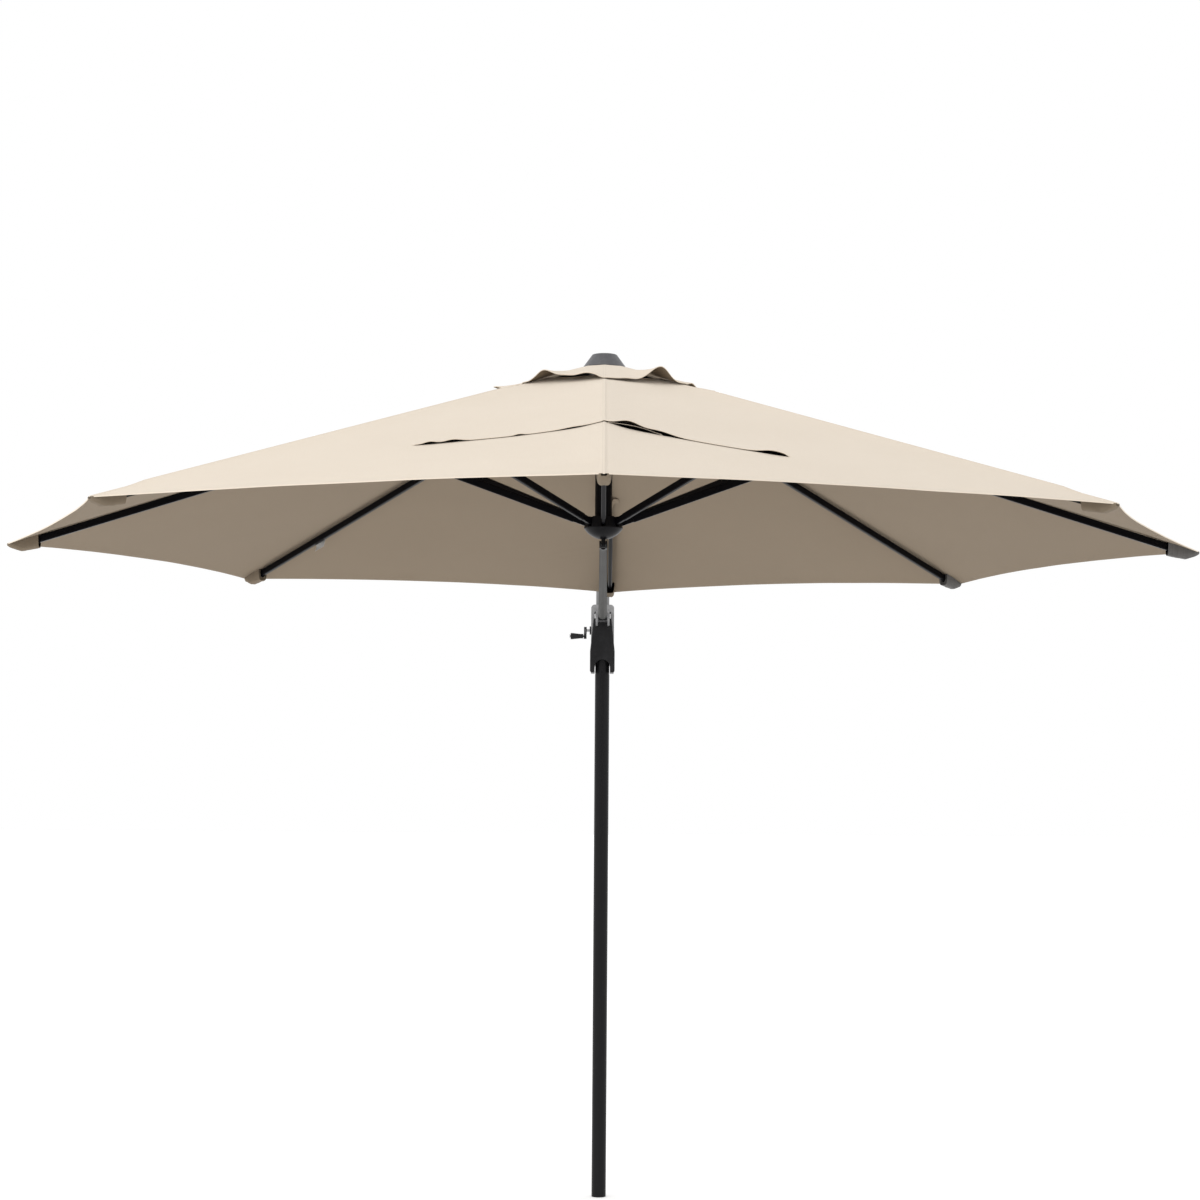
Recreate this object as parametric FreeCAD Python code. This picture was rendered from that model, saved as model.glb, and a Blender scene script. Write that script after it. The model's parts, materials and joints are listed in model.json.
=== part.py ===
# Cantilever patio umbrella: an octagonal canopy hung from an arm beside its mast.
# Frame: the origin is the middle of the mast's foot, +Z is up, and the canopy is on the -Y side.
# Millimetres and degrees. The umbrella is drawn open.
import FreeCAD, Part
import math
import os

os.makedirs("parts", exist_ok=True)
V = FreeCAD.Vector

# ---- overall sizes ----
canopy_radius = 1500.0      # middle of the canopy to a corner
mast_clearance = 400.0      # mast axis to the canopy's nearest corner
rib_slope = 17.2            # fall of an open rib, degrees
crown_height = 2420.0       # rib hinges above the foot
rib_count = 8

# ---- ribs and struts ----
bar_width = 12.0
bar_depth = 18.0
bar_wall = 0.8
bar_corner = 2.0
tongue_width = 8.0          # pressed-flat end of a rib or strut
tongue_radius = 8.0
tongue_length = 36.0
tongue_lap = 6.0            # tongue held inside the tube
rib_hinge_radius = 50.0     # canopy axis to a rib's hinge
rib_tip_radius = 1456.0     # canopy axis to the end of a rib's tube
strut_along = 555.0         # rib hinge to strut hinge, along the rib
strut_drop = 20.0           # strut hinge below the rib's middle line
lug_wall = 1.7
lug_radius = 8.0
hinge_pin_radius = 2.5
hinge_clearance = 0.05      # radial, pin in a turning bore
end_cap_length = 34.0
end_cap_lap = 22.0
end_cap_wall = 1.6
end_cap_ridge = 3.0
set_rib = 4                 # the rib over the guide arm is set sideways to fold past it
set_side = 22.0
set_start = 600.0           # along the rib
set_end = 1000.0

# ---- crown and cap ----
crown_radius = 62.0
crown_core_radius = 33.0
crown_depth = 16.0
slot_side_gap = 0.6         # each side of a rib's tongue
crown_lug_width = 18.0
crown_lug_radius = 11.0
lean_height = 28.0          # crown's swing pin above the rib hinges
lean_pin_radius = 4.0
bracket_gap = 0.5
bracket_cheek = 5.0
bracket_length = 84.0
bracket_depth = 17.0
bracket_round = 4.0
bracket_spigot = 40.0       # inside the upper mast
bracket_lap = 12.0          # collar over the fork's root
bracket_collar = 30.0       # start of the collar, back from the fork's end
cap_base_radius = 55.0
cap_top_radius = 31.0
cap_height = 33.0
cap_wall = 2.5
cap_clear = 30.0            # free space over the cap
crown_pin_seat = 12.0       # both ends of a rib's pin, in the crown
cap_lift = 16.0             # cap's rim above the rib hinges

# ---- hub under the canopy ----
hub_over_rim = 72.85        # strut hinges above the canopy's rim, canopy open
hub_hinge_radius = 40.0
hub_radius = 49.0
hub_core_radius = 25.0
hub_top = 16.0              # above the strut hinges
hub_floor = 10.0            # slot floor below the strut hinges
hub_bowl = 38.0             # underside of the bowl below the strut hinges
hub_slot_side_gap = 2.5     # each side of a strut's tongue
hub_flat_radius = 12.0      # flat at the bottom of the bowl
hub_rim = 2.0               # rim below the slot floor
lug_root = 4.0              # arm lug's root inside the bowl
hub_taper = 4.0             # the hub is that much narrower at its top
bowl_waist = 0.62           # middle of the bowl's curve, as shares of its radius
bowl_rise = 0.3             # and of its depth
neck_radius = 21.5
neck_wall = 1.5
neck_seat = 14.0            # neck over the hub's spigot
neck_gap = 1.5              # radial, neck in the crown's socket
neck_headroom = 14.0
neck_top_gap = 2.0          # neck's top below the rib hinges

# ---- guide arm ----
arm_drop = 52.0             # arm's hub pin below the strut hinges
arm_tip_radius = 9.5
arm_butt_radius = 14.0
arm_wall = 1.5
arm_lug_width = 10.0
arm_lug_radius = 8.0
arm_fork_wall = 4.7
arm_fork_gap = 0.3
arm_fork_radius = 9.5
arm_pin_radius = 3.5
arm_fork_length = 46.0
arm_fork_neck = 14.0        # solid behind the fork's slot
arm_fork_collar = 20.0
arm_spigot = 22.0
arm_eye_collar = 14.0
arm_eye_root = 12.0         # round collar before the eye's block
arm_eye_length = 44.0
arm_eye_radius = 14.0
arm_eye_width = 28.0

# ---- mast and upper mast ----
mast_radius = 24.0
mast_wall = 1.5
mast_seat = 46.0            # mast inside the housing
mast_neck_step = 0.5        # top of the mast turned down to seat in the housing
mast_neck_below = 6.0       # neck showing below the housing
foot_plug_depth = 34.0
foot_plug_round = 2.0
insert_depth = 90.0
insert_collar = 8.0
insert_rise = 70.0
insert_wall = 3.0
upper_radius = 22.0
upper_wall = 1.5
upper_end_rise = 13.5       # upper mast's end above the crown's swing pin
upper_bend_radius = 350.0
upper_fall = 5.5            # fall of the long run towards the crown, degrees
upper_end_gap = 95.0        # end of the tube to the canopy axis
cord_slot_radius = 5.0      # where the cord enters the upper mast
cord_slot_rise = 24.0       # above the reel's axis

# ---- crank housing ----
housing_side = 14.0         # housing wider than the mast, each side
housing_back = 84.0
housing_height = 226.0
housing_over_ear = 42.0     # housing's top above the arm's pivot
housing_wall = 3.0
housing_round = 12.0
cover_thickness = 10.0
cover_top_side = 3.0        # cover wider than the mast, each side, at its top
cover_bottom_side = 17.0    # and at its foot
cover_flare_height = 70.0   # where the cover reaches its full width, above its foot
cover_top_drop = 22.0       # cover's top below the housing's
cover_corner = 7.0
cover_edge = 4.0
fork_gap = 1.5              # mast to each prong
fork_height = 18.0
ear_gap = 2.0               # arm eye to each ear
ear_wall = 7.0
ear_radius = 17.0
ear_reach = 76.0            # mast axis to the arm's pivot
ear_under_rim = 43.15       # arm's pivot below the canopy's rim
ear_bolt_radius = 4.0
ear_head_radius = 8.0
ear_head_height = 4.0
ear_head_round = 1.5
ear_root_drop = 14.0        # ear deeper at its root
ear_slot_drop = 16.0        # cover's slot for an ear, below the ear's eye
screw_radius = 2.0
screw_length = 16.0
screw_inset = 12.0
screw_back_inset = 18.0     # from the housing's top and back

# ---- crank and reel ----
reel_back = 52.0            # mast axis to the crank shaft
reel_under_ear = 40.0       # crank shaft below the arm's pivot
shaft_radius = 5.0
reel_radius = 20.0
reel_flange_radius = 27.0
reel_flange = 3.0
reel_half_width = 20.0
reel_room = 8.0             # around the reel
shaft_left = 62.0
shaft_right = 33.0
bush_radius = 11.0
bush_flange_radius = 14.0
bush_flange = 5.0
bush_inner = 6.0
crank_plate = 9.0
crank_web_step = 1.5        # web thinner than the plate, each side
crank_length = 75.0
crank_boss_radius = 12.0
crank_end_radius = 9.0
crank_angle = 18.0          # crank below the level, degrees
grip_axle_radius = 3.0
grip_length = 42.0
grip_small_radius = 7.5
grip_large_radius = 11.0
grip_neck = 10.0
grip_gap = 0.5
grip_washer = 1.5

# ---- cloth ----
cloth = 1.2
cloth_lift = 2.6            # above the ribs
cloth_hole_radius = 195.0
cloth_gap = 0.3             # half of the gap between two pieces of cloth
hem_sag = 45.0              # how far a hem pulls in between its corners
vent_radius = 285.0
vent_hole_radius = 58.0
vent_lift = 3.0             # vent cloth above the canopy cloth
label_width = 38.0
label_height = 30.0
label_thick = 0.8
label_along = 1187.0
label_side = -46.0
label_drop = 6.0

# ---- worked out ----
slope = math.radians(rib_slope)
half_step = math.pi / rib_count
rib_length = (rib_tip_radius - rib_hinge_radius) / math.cos(slope)
reach = canopy_radius + mast_clearance
rim_height = crown_height - (canopy_radius - rib_hinge_radius) * math.tan(slope)
hub_height = rim_height + hub_over_rim
ear_height = rim_height - ear_under_rim
housing_top = ear_height + housing_over_ear
housing_bottom = housing_top - housing_height
housing_half_width = mast_radius + housing_side
housing_front = mast_radius
cover_top_half = mast_radius + cover_top_side
cover_bottom_half = mast_radius + cover_bottom_side
fork_half_width = mast_radius + fork_gap
mast_top = housing_bottom + mast_seat
reel_height = ear_height - reel_under_ear
ridge_rise = bar_depth / 2 / math.cos(slope) + cloth_lift
strut_out = rib_hinge_radius + strut_along * math.cos(slope) - strut_drop * math.sin(slope)
strut_high = crown_height - strut_along * math.sin(slope) - strut_drop * math.cos(slope)
strut_length = math.hypot(strut_out - hub_hinge_radius, strut_high - hub_height)
strut_slope = math.atan2(strut_high - hub_height, strut_out - hub_hinge_radius)
canopy_axis = V(0, -reach, 0)
arm_pin = V(0, -reach, hub_height - arm_drop)
ear_pin = V(0, -ear_reach, ear_height)
arm_angle = math.degrees(math.atan2(ear_pin.z - arm_pin.z, ear_pin.y - arm_pin.y))
lean_z = crown_height + lean_height
crown_pin_length = tongue_width + 2 * slot_side_gap + crown_pin_seat
neck_bottom = hub_height + hub_top
neck_top = crown_height - neck_top_gap
bracket_half = crown_lug_width / 2 + bracket_gap + bracket_cheek
cap_ceiling = crown_height + cap_lift + cap_height + cap_clear
arm_length = (ear_pin - arm_pin).Length
screw_levels = (housing_bottom + fork_height + screw_inset, housing_top - screw_back_inset)
screw_rows = (housing_back - screw_back_inset,)


def save(shape, node):
    shape.exportStep("parts/" + node + ".step")


def tube(outer, wall, length, at, way):
    return Part.makeCylinder(outer, length, at, way).cut(Part.makeCylinder(outer - wall, length, at, way))


def box(x0, x1, y0, y1, z0, z1):
    return Part.makeBox(x1 - x0, y1 - y0, z1 - z0, V(x0, y0, z0))


def bar_x(radius, x0, x1, y, z):
    """A round bar along X."""
    return Part.makeCylinder(radius, x1 - x0, V(x0, y, z), V(1, 0, 0))


def plate_x(x0, x1, points):
    """A flat plate square to X, from (y, z) points."""
    wire = Part.makePolygon([V(x0, y, z) for y, z in points + points[:1]])
    return Part.Face(wire).extrude(V(x1 - x0, 0, 0))


def round_edges(shape, radius, wanted):
    edges = [edge for edge in shape.Edges if wanted(edge)]
    return shape.makeFillet(radius, edges)


def bar_section(x, side, half, deep, corner):
    """Outline of a bar at x, moved sideways; corner cuts its four edges."""
    points = []
    for y, z in ((1, 1), (-1, 1), (-1, -1), (1, -1)):
        ends = [(y * half, z * (deep - corner)), (y * (half - corner), z * deep)]
        points.extend(ends if y * z > 0 else ends[::-1])
    outline = [V(x, side + y, z) for y, z in points]
    return Part.makePolygon(outline + outline[:1])


def hollow_bar(stations):
    """A tube, 12 by 18, through (x, sideways) stations."""
    outer = [bar_section(x, side, bar_width / 2, bar_depth / 2, bar_corner) for x, side in stations]
    inner = [bar_section(x, side, bar_width / 2 - bar_wall, bar_depth / 2 - bar_wall,
                         bar_corner - bar_wall / 2)
             for x, side in stations]
    return Part.makeLoft(outer, True, True).cut(Part.makeLoft(inner, True, True))


def tongue(centre, inward):
    """A flat end with a round nose and a pin hole; inward is +1 where the bar goes on along +X."""
    far = centre + inward * (tongue_length + tongue_lap)
    flat = box(min(centre, far), max(centre, far), -tongue_width / 2, tongue_width / 2,
               -tongue_radius + 0.4, tongue_radius - 0.4)
    across = V(0, 1, 0)
    nose = Part.makeCylinder(tongue_radius, tongue_width, V(centre, -tongue_width / 2, 0), across)
    trim = box(centre - tongue_radius, centre + tongue_radius, -tongue_width, tongue_width,
               -tongue_radius + 0.4, tongue_radius - 0.4)
    return flat.fuse(nose.common(trim))


def pin_hole(centre, radius):
    return Part.makeCylinder(radius, bar_width * 2, V(centre, -bar_width, 0), V(0, 1, 0))


def on_rib(shape, index):
    """Moves a shape drawn along +X from a rib's hinge to its place; rib 0 points to -Y."""
    placed = shape.copy()
    placed.rotate(V(0, 0, 0), V(0, 1, 0), rib_slope)
    placed.translate(V(rib_hinge_radius, 0, crown_height))
    placed.rotate(V(0, 0, 0), V(0, 0, 1), -90 + 360.0 / rib_count * index)
    placed.translate(canopy_axis)
    return placed


def around_axis(shape, index):
    """Turns a shape drawn with its radius along +X about the canopy axis to rib index."""
    placed = shape.copy()
    placed.rotate(V(0, 0, 0), V(0, 0, 1), -90 + 360.0 / rib_count * index)
    placed.translate(canopy_axis)
    return placed


def make_rib(side):
    tube_start = tongue_length
    stations = [(tube_start, 0), (rib_length, 0)]
    if side:
        stations = [(tube_start, 0), (set_start, 0), (set_end, side), (rib_length, side)]
    rib = hollow_bar(stations).fuse(tongue(0, 1))
    plug = box(tube_start, tube_start + tongue_lap, -bar_width / 2 + bar_wall, bar_width / 2 - bar_wall,
               -bar_depth / 2 + bar_wall, bar_depth / 2 - bar_wall)
    rib = rib.fuse(plug).cut(pin_hole(0, hinge_pin_radius + hinge_clearance))
    for side in (-1, 1):
        inner = side * (bar_width / 2 - lug_wall)
        outer = side * bar_width / 2
        low, high = min(inner, outer), max(inner, outer)
        cheek = box(strut_along - lug_radius, strut_along + lug_radius, low, high,
                    -strut_drop, -bar_depth / 2 + bar_wall)
        nose = Part.makeCylinder(lug_radius, lug_wall, V(strut_along, low, -strut_drop), V(0, 1, 0))
        rib = rib.fuse(cheek).fuse(nose)
    pin = Part.makeCylinder(hinge_pin_radius, bar_width,
                            V(strut_along, -bar_width / 2, -strut_drop), V(0, 1, 0))
    return rib.fuse(pin).removeSplitter()


def make_strut():
    """Drawn along +X from the hub hinge to the rib hinge."""
    bar = hollow_bar([(tongue_length, 0), (strut_length - tongue_length, 0)])
    strut = bar.fuse(tongue(0, 1)).fuse(tongue(strut_length, -1))
    inner_half = bar_width / 2 - bar_wall
    inner_deep = bar_depth / 2 - bar_wall
    for start in (tongue_length, strut_length - tongue_length - tongue_lap):
        strut = strut.fuse(box(start, start + tongue_lap, -inner_half, inner_half, -inner_deep, inner_deep))
    for centre in (0, strut_length):
        strut = strut.cut(pin_hole(centre, hinge_pin_radius + hinge_clearance))
    return strut.removeSplitter()


def place_strut(shape, index):
    placed = shape.copy()
    placed.rotate(V(0, 0, 0), V(0, 1, 0), -math.degrees(strut_slope))
    placed.translate(V(hub_hinge_radius, 0, hub_height))
    return around_axis(placed, index)


def make_end_cap():
    """Moulded cap over the end of a rib, which holds the cloth's corner."""
    start = rib_length - end_cap_lap
    end = start + end_cap_length
    half = bar_width / 2 + end_cap_wall
    deep = bar_depth / 2
    cap = box(start, end, -half, half, -deep - end_cap_wall, deep)
    cap = round_edges(cap, end_cap_ridge, lambda e: abs(e.Length - end_cap_length) > 0.01
                      and e.BoundBox.XMin > end - 0.01)
    return cap.cut(box(start, rib_length, -bar_width / 2, bar_width / 2, -deep, deep))


def cloth_point(radius, angle, lift, side=0.0):
    """A point of the eight-sided cloth; angle runs from the nearest rib, side moves it across."""
    flat = radius * math.cos(half_step - abs(angle)) / math.cos(half_step)
    height = crown_height - (flat - rib_hinge_radius) * math.tan(slope) + ridge_rise + lift
    return V(radius * math.cos(angle), radius * math.sin(angle) + side, height)


def cloth_wedge(inner, outer, sag, lift, gap, corner_side=0.0):
    """Cloth over one rib, out to the middle of the panel on each side."""
    shape = None
    for side in (-1, 1):
        outline = [cloth_point(inner, 0, lift), cloth_point(outer, 0, lift, corner_side)]
        for radius in (outer * math.cos(half_step) - sag, inner * math.cos(half_step)):
            outline.append(cloth_point(radius, side * (half_step - gap / radius), lift))
        for order in ((0, 1, 2), (0, 2, 3)):
            corners = [outline[i] for i in order]
            prism = Part.Face(Part.makePolygon(corners + corners[:1])).extrude(V(0, 0, cloth))
            shape = prism if shape is None else shape.fuse(prism)
    return shape.removeSplitter()


def make_label():
    """Blank care label, sewn to the underside of the cloth beside a rib."""
    label = box(label_along - label_width / 2, label_along + label_width / 2,
                label_side, label_side + label_thick, -label_drop - label_height, -label_drop)
    return round_edges(label, 3.0, lambda e: abs(e.Length - label_thick) < 0.01)


def make_vent():
    """The small upper canopy over the hole in the middle of the cloth."""
    vent = None
    for index in range(rib_count):
        wedge = around_axis(cloth_wedge(vent_hole_radius, vent_radius, 0.0, vent_lift, 0.0), index)
        vent = wedge if vent is None else vent.fuse(wedge)
    return vent.removeSplitter()


def make_crown():
    low = crown_height - crown_depth / 2
    crown = Part.makeCylinder(crown_radius, crown_depth, V(0, -reach, low))
    crown = round_edges(crown, 3.0, lambda e: e.BoundBox.ZLength < 0.01)
    slot_half = tongue_width / 2 + slot_side_gap
    for index in range(rib_count):
        slot = box(crown_core_radius, crown_radius + 1, -slot_half, slot_half,
                   low - 1, low + crown_depth + 1)
        crown = crown.cut(around_axis(slot, index))
        bore = Part.makeCylinder(hinge_pin_radius, crown_pin_length, V(rib_hinge_radius,
                                 -crown_pin_length / 2, crown_height), V(0, 1, 0))
        crown = crown.cut(around_axis(bore, index))
    socket = Part.makeCylinder(neck_radius + neck_gap, neck_top - low + neck_headroom / 2, V(0, -reach, low))
    crown = crown.cut(socket)
    lug = Part.makeCylinder(crown_lug_width, lean_z - crown_height, V(0, -reach, crown_height))
    lug = lug.common(box(-crown_lug_width / 2, crown_lug_width / 2, -reach - crown_lug_radius,
                         -reach + crown_lug_radius, crown_height + crown_depth / 2 - 2, lean_z))
    lug = lug.fuse(bar_x(crown_lug_radius, -crown_lug_width / 2, crown_lug_width / 2, -reach, lean_z))
    crown = crown.fuse(lug)
    return crown.cut(bar_x(lean_pin_radius + hinge_clearance, -crown_lug_width, crown_lug_width,
                           -reach, lean_z))


def make_crown_pins():
    pins = []
    for index in range(rib_count):
        pin = Part.makeCylinder(hinge_pin_radius, crown_pin_length,
                                V(rib_hinge_radius, -crown_pin_length / 2, crown_height), V(0, 1, 0))
        pins.append(around_axis(pin, index))
    return Part.makeCompound(pins)


def make_cap():
    """Hood over the crown: a cone with rounded shoulders, open underneath and behind for the arm."""
    base = crown_height + cap_lift
    outer = Part.makeCone(cap_base_radius, cap_top_radius, cap_height, V(0, -reach, base))
    outer = round_edges(outer, 3.0, lambda e: abs(e.BoundBox.ZMin - base - cap_height) < 0.01)
    inner = Part.makeCone(cap_base_radius - cap_wall, cap_top_radius - cap_wall,
                          cap_height - cap_wall, V(0, -reach, base))
    cap = outer.cut(inner)
    half = bracket_half + bracket_gap
    seat = lean_z + bracket_depth / 2
    cap = cap.cut(box(-half, half, -reach, -reach + cap_base_radius + 1, base - 1, seat))
    for side in (-1, 1):
        low, high = sorted((side * (crown_lug_width / 2 + bracket_gap), side * bracket_half))
        post = box(low, high, -reach - crown_lug_radius, -reach + crown_lug_radius, seat,
                   base + cap_height - cap_wall / 2)
        cap = cap.fuse(post)
    return cap.removeSplitter()


def make_bracket():
    """Forked end of the upper mast; the crown's lug hangs between its cheeks."""
    inner = crown_lug_width / 2 + bracket_gap
    deep = bracket_depth / 2
    body = box(-bracket_half, bracket_half, -reach - crown_lug_radius, -reach + bracket_length,
               lean_z - deep, lean_z + deep)
    throat = box(-inner, inner, -reach - crown_lug_radius - 1, -reach + crown_lug_radius + 4,
                 lean_z - deep - 1, lean_z + crown_lug_radius + 0.5)
    body = body.cut(throat)
    body = round_edges(body, bracket_round, lambda e: e.BoundBox.YLength < 0.01 and e.BoundBox.XLength < 0.01
                       and abs(abs(e.BoundBox.XMin) - bracket_half) < 0.01)
    body = body.cut(bar_x(lean_pin_radius, -bracket_half - 1, bracket_half + 1, -reach, lean_z))
    spigot_start = upper_end - fall_way * bracket_spigot
    stop = (upper_end - V(0, -reach + bracket_length - bracket_lap, lean_z)).Length
    spigot = Part.makeCylinder(upper_radius - upper_wall, bracket_spigot + 1, spigot_start, fall_way)
    shoulder = Part.makeCylinder(upper_radius, stop, upper_end, fall_way)
    shoulder = shoulder.common(box(-upper_radius, upper_radius, -reach + bracket_length - bracket_collar,
                                   upper_end.y + upper_radius, 0, cap_ceiling))
    return body.fuse(shoulder).fuse(spigot).removeSplitter()


def upper_path():
    """Middle line of the upper mast: straight up, one bend, then a long run down to the crown."""
    centre = V(0, -upper_bend_radius, upper_bend_start)
    bend_end = centre + V(0, -math.sin(fall), math.cos(fall)) * upper_bend_radius
    turn = (math.pi / 2 + fall) / 2
    middle = centre + V(0, math.cos(turn), math.sin(turn)) * upper_bend_radius
    return bend_end, middle


fall = math.radians(upper_fall)
fall_way = V(0, -math.cos(fall), -math.sin(fall))
upper_run = (reach - upper_end_gap - upper_bend_radius * (1 + math.sin(fall))) / math.cos(fall)
upper_bend_start = (lean_z + upper_end_rise + upper_run * math.sin(fall)
                    - upper_bend_radius * math.cos(fall))
upper_bend_end, upper_middle = upper_path()
upper_end = upper_bend_end + fall_way * upper_run


def make_upper_mast():
    base = V(0, 0, mast_top + insert_collar)
    start = V(0, 0, upper_bend_start)
    path = Part.Wire([Part.makeLine(base, start), Part.Arc(start, upper_middle, upper_bend_end).toShape(),
                      Part.makeLine(upper_bend_end, upper_end)])
    solids = []
    for radius in (upper_radius, upper_radius - upper_wall):
        ring = Part.Wire([Part.makeCircle(radius, base, V(0, 0, 1))])
        solids.append(path.makePipeShell([ring], True, False))
    mast = solids[0].cut(solids[1])
    mouth = Part.makeCylinder(cord_slot_radius, upper_radius * 2,
                              V(0, 0, reel_height + cord_slot_rise), V(0, 1, 0))
    return mast.cut(mouth)


def make_hub():
    top = hub_height + hub_top
    floor = hub_height - hub_floor
    rim = floor - hub_rim
    bowl = hub_height - hub_bowl
    waist = V(hub_radius * bowl_waist, 0, bowl + (rim - bowl) * bowl_rise)
    shoulder = hub_radius - hub_taper
    arc = Part.Arc(V(hub_radius, 0, rim), waist, V(hub_flat_radius, 0, bowl))
    edges = [arc.toShape(), Part.makeLine(V(hub_flat_radius, 0, bowl), V(0, 0, bowl)),
             Part.makeLine(V(0, 0, bowl), V(0, 0, top)), Part.makeLine(V(0, 0, top), V(shoulder, 0, top)),
             Part.makeLine(V(shoulder, 0, top), V(hub_radius, 0, floor)),
             Part.makeLine(V(hub_radius, 0, floor), V(hub_radius, 0, rim))]
    hub = Part.Face(Part.Wire(edges)).revolve(V(0, 0, 0), V(0, 0, 1), 360)
    hub.translate(canopy_axis)
    slot_half = tongue_width / 2 + hub_slot_side_gap
    for index in range(rib_count):
        slot = box(hub_core_radius, hub_radius + 1, -slot_half, slot_half, floor, top + 1)
        hub = hub.cut(around_axis(slot, index))
    spigot = Part.makeCylinder(neck_radius - neck_wall, neck_seat, V(0, -reach, top))
    hub = hub.fuse(spigot)
    low = arm_pin.z
    lug = box(-arm_lug_width / 2, arm_lug_width / 2, -reach - arm_lug_radius, -reach + arm_lug_radius,
              low, bowl + lug_root)
    lug = lug.fuse(bar_x(arm_lug_radius, -arm_lug_width / 2, arm_lug_width / 2, -reach, low))
    return hub.fuse(lug).cut(bar_x(arm_pin_radius + hinge_clearance, -20, 20, -reach, low)).removeSplitter()


def along_arm(shape):
    """Places a shape drawn along +Y from the hub pin; the arm falls towards the mast."""
    placed = shape.copy()
    placed.rotate(V(0, 0, 0), V(1, 0, 0), arm_angle)
    placed.translate(arm_pin)
    return placed


def make_arm_tube():
    start = arm_fork_length
    run = arm_length - arm_fork_length - arm_eye_length
    outer = Part.makeCone(arm_tip_radius, arm_butt_radius, run, V(0, start, 0), V(0, 1, 0))
    inner = Part.makeCone(arm_tip_radius - arm_wall, arm_butt_radius - arm_wall, run,
                          V(0, start, 0), V(0, 1, 0))
    return along_arm(outer.cut(inner))


def arm_inner(distance):
    """Inside radius of the tapered arm at a distance from the hub pin."""
    run = arm_length - arm_fork_length - arm_eye_length
    share = (distance - arm_fork_length) / run
    return arm_tip_radius + (arm_butt_radius - arm_tip_radius) * share - arm_wall


def make_arm_fork():
    inner = arm_lug_width / 2 + arm_fork_gap
    outer = inner + arm_fork_wall
    fork = None
    for side in (-1, 1):
        low, high = min(side * inner, side * outer), max(side * inner, side * outer)
        cheek = Part.makeCylinder(arm_fork_radius, high - low, V(low, 0, 0), V(1, 0, 0))
        cheek = cheek.fuse(box(low, high, 0, arm_fork_length - arm_fork_neck,
                               -arm_fork_radius, arm_fork_radius))
        fork = cheek if fork is None else fork.fuse(cheek)
    neck = Part.makeCylinder(arm_tip_radius, arm_fork_collar, V(0, arm_fork_length - arm_fork_collar, 0),
                             V(0, 1, 0))
    spigot = Part.makeCylinder(arm_inner(arm_fork_length), arm_spigot, V(0, arm_fork_length, 0), V(0, 1, 0))
    fork = fork.fuse(neck).fuse(spigot)
    return along_arm(fork.cut(bar_x(arm_pin_radius, -outer - 1, outer + 1, 0, 0))).removeSplitter()


def make_arm_eye():
    """Mast end of the arm: a round-nosed block on a spigot, bored for the housing's pivot."""
    half = arm_eye_width / 2
    centre = arm_length
    nose = bar_x(arm_eye_radius, -half, half, centre, 0)
    body = box(-half, half, centre - arm_eye_length + arm_eye_root, centre, -arm_eye_radius, arm_eye_radius)
    collar = Part.makeCylinder(arm_butt_radius, arm_eye_collar, V(0, centre - arm_eye_length, 0), V(0, 1, 0))
    root = centre - arm_eye_length
    spigot = Part.makeCylinder(arm_inner(root - arm_spigot), arm_spigot,
                               V(0, root - arm_spigot, 0), V(0, 1, 0))
    eye = nose.fuse(body).fuse(collar).fuse(spigot)
    return along_arm(eye.cut(bar_x(ear_bolt_radius, -half - 1, half + 1, centre, 0))).removeSplitter()


def make_arm_pin():
    half = arm_lug_width / 2 + arm_fork_gap + arm_fork_wall
    return bar_x(arm_pin_radius, -half, half, arm_pin.y, arm_pin.z)


def housing_outline():
    outline = box(-housing_half_width, housing_half_width, -housing_front, housing_back,
                  housing_bottom, housing_top)
    outline = round_edges(outline, housing_round, lambda e: e.BoundBox.XLength < 0.01
                          and e.BoundBox.YLength < 0.01 and e.BoundBox.YMin > 0)
    return round_edges(outline, housing_round, lambda e: abs(e.BoundBox.ZMin - housing_top) < 0.01
                       and not (e.BoundBox.YLength < 0.01 and e.BoundBox.YMin < 0))


def fork_arch(front, back):
    """Round-topped opening over the mast at the foot of the housing."""
    low = housing_bottom
    arch = box(-fork_half_width, fork_half_width, front, back, low - 1, low + fork_height)
    round_top = Part.makeCylinder(fork_half_width, back - front,
                                  V(0, front, low + fork_height), V(0, 1, 0))
    return arch.fuse(round_top)


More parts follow.
